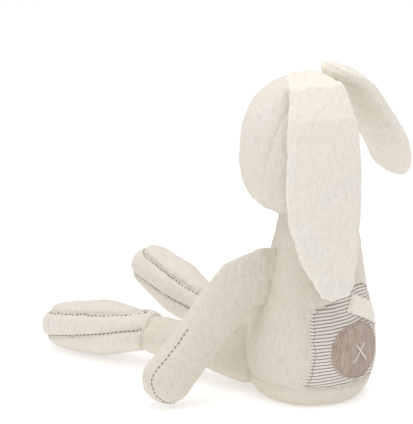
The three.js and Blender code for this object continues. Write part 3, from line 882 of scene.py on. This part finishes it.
def make_back(skin):
    """The ticking panel with its topstitch."""
    ring = outline_of("striped_back_panel", 2 * MM)
    panel = patch("back_ticking", ring, skin, 30, panel_height)
    ride(dress(panel, "ticking"), "torso")
    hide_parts("striped_back_panel")
    cloth_skin = surface_of(panel)

    edge = outline_of("striped_back_panel", 2 * MM, inset=2.6 * MM)
    edge = [seen_from(1, skin, spot, PANEL_RISE) for spot in edge]
    seam = running_stitch("back_panel_stitches", edge, True, cloth_skin, 2.4 * MM, 1.0 * MM, 0.35 * MM)
    ride(dress(seam, "pale_thread", "grey_thread"), "torso")
    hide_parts("back_panel_topstitch")


def make_tail(skin):
    """The felt disc with its edge stitches."""
    low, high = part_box("tail_disc")
    centre = np.array([(low.x + high.x) / 2, (low.z + high.z) / 2])
    radius = (high.x - low.x) / 2
    turns = np.linspace(0, 2 * math.pi, 96, endpoint=False)
    circle = np.column_stack([np.cos(turns), np.sin(turns)])
    disc = patch("tail_felt", centre + radius * circle, skin, 24, felt_height)
    ride(dress(disc, "felt"), "torso")
    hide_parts("tail_disc")
    felt_skin = surface_of(disc)
    edge = [seen_from(1, skin, spot, felt_height(0)) for spot in centre + 0.9 * radius * circle]
    seam = running_stitch("tail_edge_stitches", edge, True, felt_skin, 2.2 * MM, 1.1 * MM, 0.32 * MM)
    ride(dress(seam, "pale_thread", "grey_thread"), "torso")


def flat_axes(node):
    """A flat CAD node seen along Y: its (x, z) points about their middle, the middle, and its own axes."""
    cloud = np.array([(v.co.x, v.co.z) for v in frame["nodes"][node].data.vertices])
    middle = cloud.mean(0)
    _, _, axes = np.linalg.svd(cloud - middle, full_matrices=False)
    return cloud - middle, middle, axes


def make_cross_stitch(skin):
    """Two doubled strands that cross on the tail, the second one over the first."""
    share = np.linspace(-1, 1, 13)
    for node, over in (("tail_cross_stitch_a", 0.5 * MM), ("tail_cross_stitch_b", 1.2 * MM)):
        cloud, middle, axes = flat_axes(node)
        reach = (cloud @ axes[0]).max()
        heights = felt_height(0) + over - 1.6 * MM * share ** 8
        strands = []
        for shift in (-0.4 * MM, 0.4 * MM):
            spots = middle + share[:, None] * reach * axes[0] + shift * axes[1]
            strands.append([seen_from(1, skin, spot, h) for spot, h in zip(spots, heights)])
        cross = threads(node.replace("stitch", "strand"), strands, 0.42 * MM)
        ride(dress(cross, "pale_thread"), "torso")
        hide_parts(node)


def tape_height(share):
    """The tape's outer face over the plush, from its sewn ends at -1 and 1 to its slack middle."""
    return (2.3 - 0.9 * abs(share) ** 6 + 0.2 * math.cos(5 * share)) * MM


def make_tape(skin):
    """The blank tape: a strip curving across the back, sewn down at both ends."""
    cloud, middle, axes = flat_axes("label_tape")
    along, across = (np.abs(cloud @ axis).max() for axis in axes[:2])
    rows, count = 61, 13
    points = []
    for share in np.linspace(-1, 1, rows):
        for width in np.linspace(-1, 1, count):
            spot = middle + share * along * axes[0] + width * across * axes[1]
            points.append(seen_from(1, skin, spot, tape_height(share)))
    tape = turned_out(mesh_object("label_tape_strip", points, grid_faces(rows, count, closed=False)))
    thicken(tape, TAPE_THICKNESS)
    ride(dress(tape, "tape"), "torso")
    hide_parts("label_tape")
    share = np.linspace(-1, 1, 5)
    paths = []
    for end in (-0.9, 0.9):
        rises = tape_height(end) + (0.15 + 0.3 * (1 - share ** 2)) * MM
        for width in 0.8 * np.linspace(-1, 1, 6):
            spot = middle + end * along * axes[0] + width * across * axes[1]
            spots = [spot + 0.9 * MM * s * axes[1] for s in share]
            paths.append([seen_from(1, skin, s, rise) for s, rise in zip(spots, rises)])
    ends = threads("label_tape_stitches", paths, 0.3 * MM)
    ride(dress(ends, "pale_thread"), "torso")


def make_head():
    panels = ["face_panel", "left_head_panel", "right_head_panel"]
    obj = soft_body("head_plush", panels, ["head_stuffing"], 20, hulled=True, seam_depth=1.1 * MM)
    dress(obj, "pale_plush")
    ride(obj, "head")
    return obj


def make_face(skin):
    """Two shining eyes, set into the face, a satin-stitched nose and a small calm mouth."""
    for side, sign in SIDES.items():
        centre = node_middle(f"{side}_eye")
        turn = math.asin(abs(centre.x) / HEAD_RADIUS)
        out = Vector((sign * math.sin(turn), -math.cos(turn), 0))
        face, _, _, _ = skin.ray_cast(centre + HEAD_RADIUS * out, -out)
        make_eye(side, face + EYE_STANDS_OUT * out, out)
    make_nose(skin)
    make_mouth(skin)


def make_nose(skin):
    """Upright satin stitches, side by side, that fill the nose's triangle."""
    ring = outline_of("nose", 0.75 * MM)
    half = ring[:, 0].max()
    share = np.linspace(0, 1, 9)
    heights = (1.3 * np.sin(math.pi * share) ** 0.5 - 0.3) * MM
    strands = []
    for x in np.linspace(-0.94 * half, 0.94 * half, 15):
        near = ring[np.abs(ring[:, 0] - x) < 0.7 * MM]
        bottom, top = near[:, 1].min(), near[:, 1].max()
        levels = bottom + (top - bottom) * share
        strands.append([seen_from(-1, skin, (x, z), h) for z, h in zip(levels, heights)])
    nose = threads("nose_satin_stitch", strands, 0.55 * MM)
    ride(dress(nose, "nose_thread"), "head")
    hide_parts("nose")


def make_mouth(skin):
    """A short upright thread that parts into two curved ones."""
    low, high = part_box("mouth_stitch")
    drop = high.z - 0.55 * (high.z - low.z)
    lines = [[(0, high.z - s * (high.z - drop)) for s in np.linspace(0, 1, 8)]]
    for sign in (1, -1):
        curve = []
        for s in np.linspace(0, 1, 10):
            sag = math.sin(math.pi * s) * 0.75 * (drop - low.z)
            curve.append((sign * s * high.x, drop - sag))
        lines.append(curve)
    paths = [[seen_from(-1, skin, spot, 0.35 * MM) for spot in line] for line in lines]
    mouth = threads("mouth_line", paths, 0.45 * MM)
    ride(dress(mouth, "dark_thread"), "head")
    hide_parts("mouth_stitch")


def make_eye(side, tip, out):
    """A domed button eye with a rolled rim, turned about `out`."""
    radius, dome = EYE_RADIUS, EYE_DOME
    rim = -dome - 0.9 * MM
    profile = [(radius * math.sin(t), dome * math.cos(t) - dome) for t in np.linspace(0, math.pi / 2, 14)]
    profile += [(0.98 * radius, -dome - 0.5 * MM), (0.8 * radius, rim), (0, rim)]
    across = out.cross(Vector((0, 0, 1))).normalized()
    up = across.cross(out)
    count = 40
    points = []
    for r, h in profile:
        for k in range(count):
            turn = 2 * math.pi * k / count
            points.append(tip + out * h + across * (r * math.cos(turn)) + up * (r * math.sin(turn)))
    eye = turned_out(mesh_object(f"{side}_eye_button", points, grid_faces(len(profile), count)))
    ride(dress(eye, "eye_plastic"), "head")
    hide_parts(f"{side}_eye")
    washer = frame["nodes"][f"{side}_eye_washer"].data
    washer.materials.clear()
    washer.materials.append(cloth["washer_plastic"])


def make_ear(side, seed, head_skin):
    panels = [f"{side}_ear_back", f"{side}_ear_lining"]
    root = joint_place(f"{side}_ear_lift")
    ear = soft_body(
        f"{side}_ear_plush", panels, [f"{side}_ear_padding"], seed,
        sewn_to=(head_skin, root, 34 * MM), flow=(1, 1, 0.4), seam_depth=0.9 * MM,
    )
    dress(ear, "pale_plush", "ear_plush")
    toward = node_middle(f"{side}_ear_padding") - root
    toward.z = 0
    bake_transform(ear)


def make_arm(side, seed, torso_skin):
    panels = [f"{side}_arm_outer_panel", f"{side}_arm_inner_panel"]
    root = joint_place(f"{side}_arm_swing")
    arm = soft_body(
        f"{side}_arm_plush", panels, [f"{side}_arm_stuffing"], seed,
        sewn_to=(torso_skin, root), seam_depth=0.8 * MM,
    )
    dress(arm, "plush")
    path, closed = thread_path(f"{side}_arm_topstitch")
    seam = running_stitch(f"{side}_arm_stitches", path, closed, surface_of(arm))
    ride(dress(seam, "dark_thread"), f"{side}_arm")
    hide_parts(f"{side}_arm_topstitch")
    toward = node_middle(f"{side}_arm_stuffing") - root
    toward.z = 0
    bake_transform(arm)


def make_leg(side, seed):
    panels = [f"{side}_leg_top_panel", f"{side}_leg_under_panel"]
    leg = soft_body(f"{side}_leg_plush", panels, [f"{side}_leg_stuffing"], seed, seam_depth=0.6 * MM)
    dress(leg, "plush")
    ride(leg, f"{side}_leg")


def make_foot(side, seed):
    panels = [f"{side}_foot_instep", f"{side}_foot_gusset", f"{side}_foot_sole"]
    stuffing = [f"{side}_foot_stuffing"]
    foot = soft_body(f"{side}_foot_plush", panels, stuffing, seed, hulled=True, seam_depth=2.8 * MM)
    dress(foot, "pale_plush")
    ride(foot, f"{side}_foot")
    skin = surface_of(foot)
    for place in ("upper", "lower"):
        path, closed = thread_path(f"{side}_foot_{place}_topstitch")
        seam = running_stitch(f"{side}_foot_{place}_stitches", path, closed, skin)
        ride(dress(seam, "dark_thread"), f"{side}_foot")
        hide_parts(f"{side}_foot_{place}_topstitch")


make_camera()
make_studio()
cloth = make_materials()

head = make_head()
head_skin = surface_of(head)
make_face(head_skin)
torso = make_torso(head_skin)
torso_skin = surface_of(torso)
make_back(torso_skin)
make_tail(torso_skin)
make_cross_stitch(torso_skin)
make_tape(torso_skin)
for side, sign in SIDES.items():
    make_ear(side, 30 + 5 * sign, head_skin)
    make_arm(side, 50 + 5 * sign, torso_skin)
    make_leg(side, 70 + 5 * sign)
    make_foot(side, 90 + 5 * sign)
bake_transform(torso)
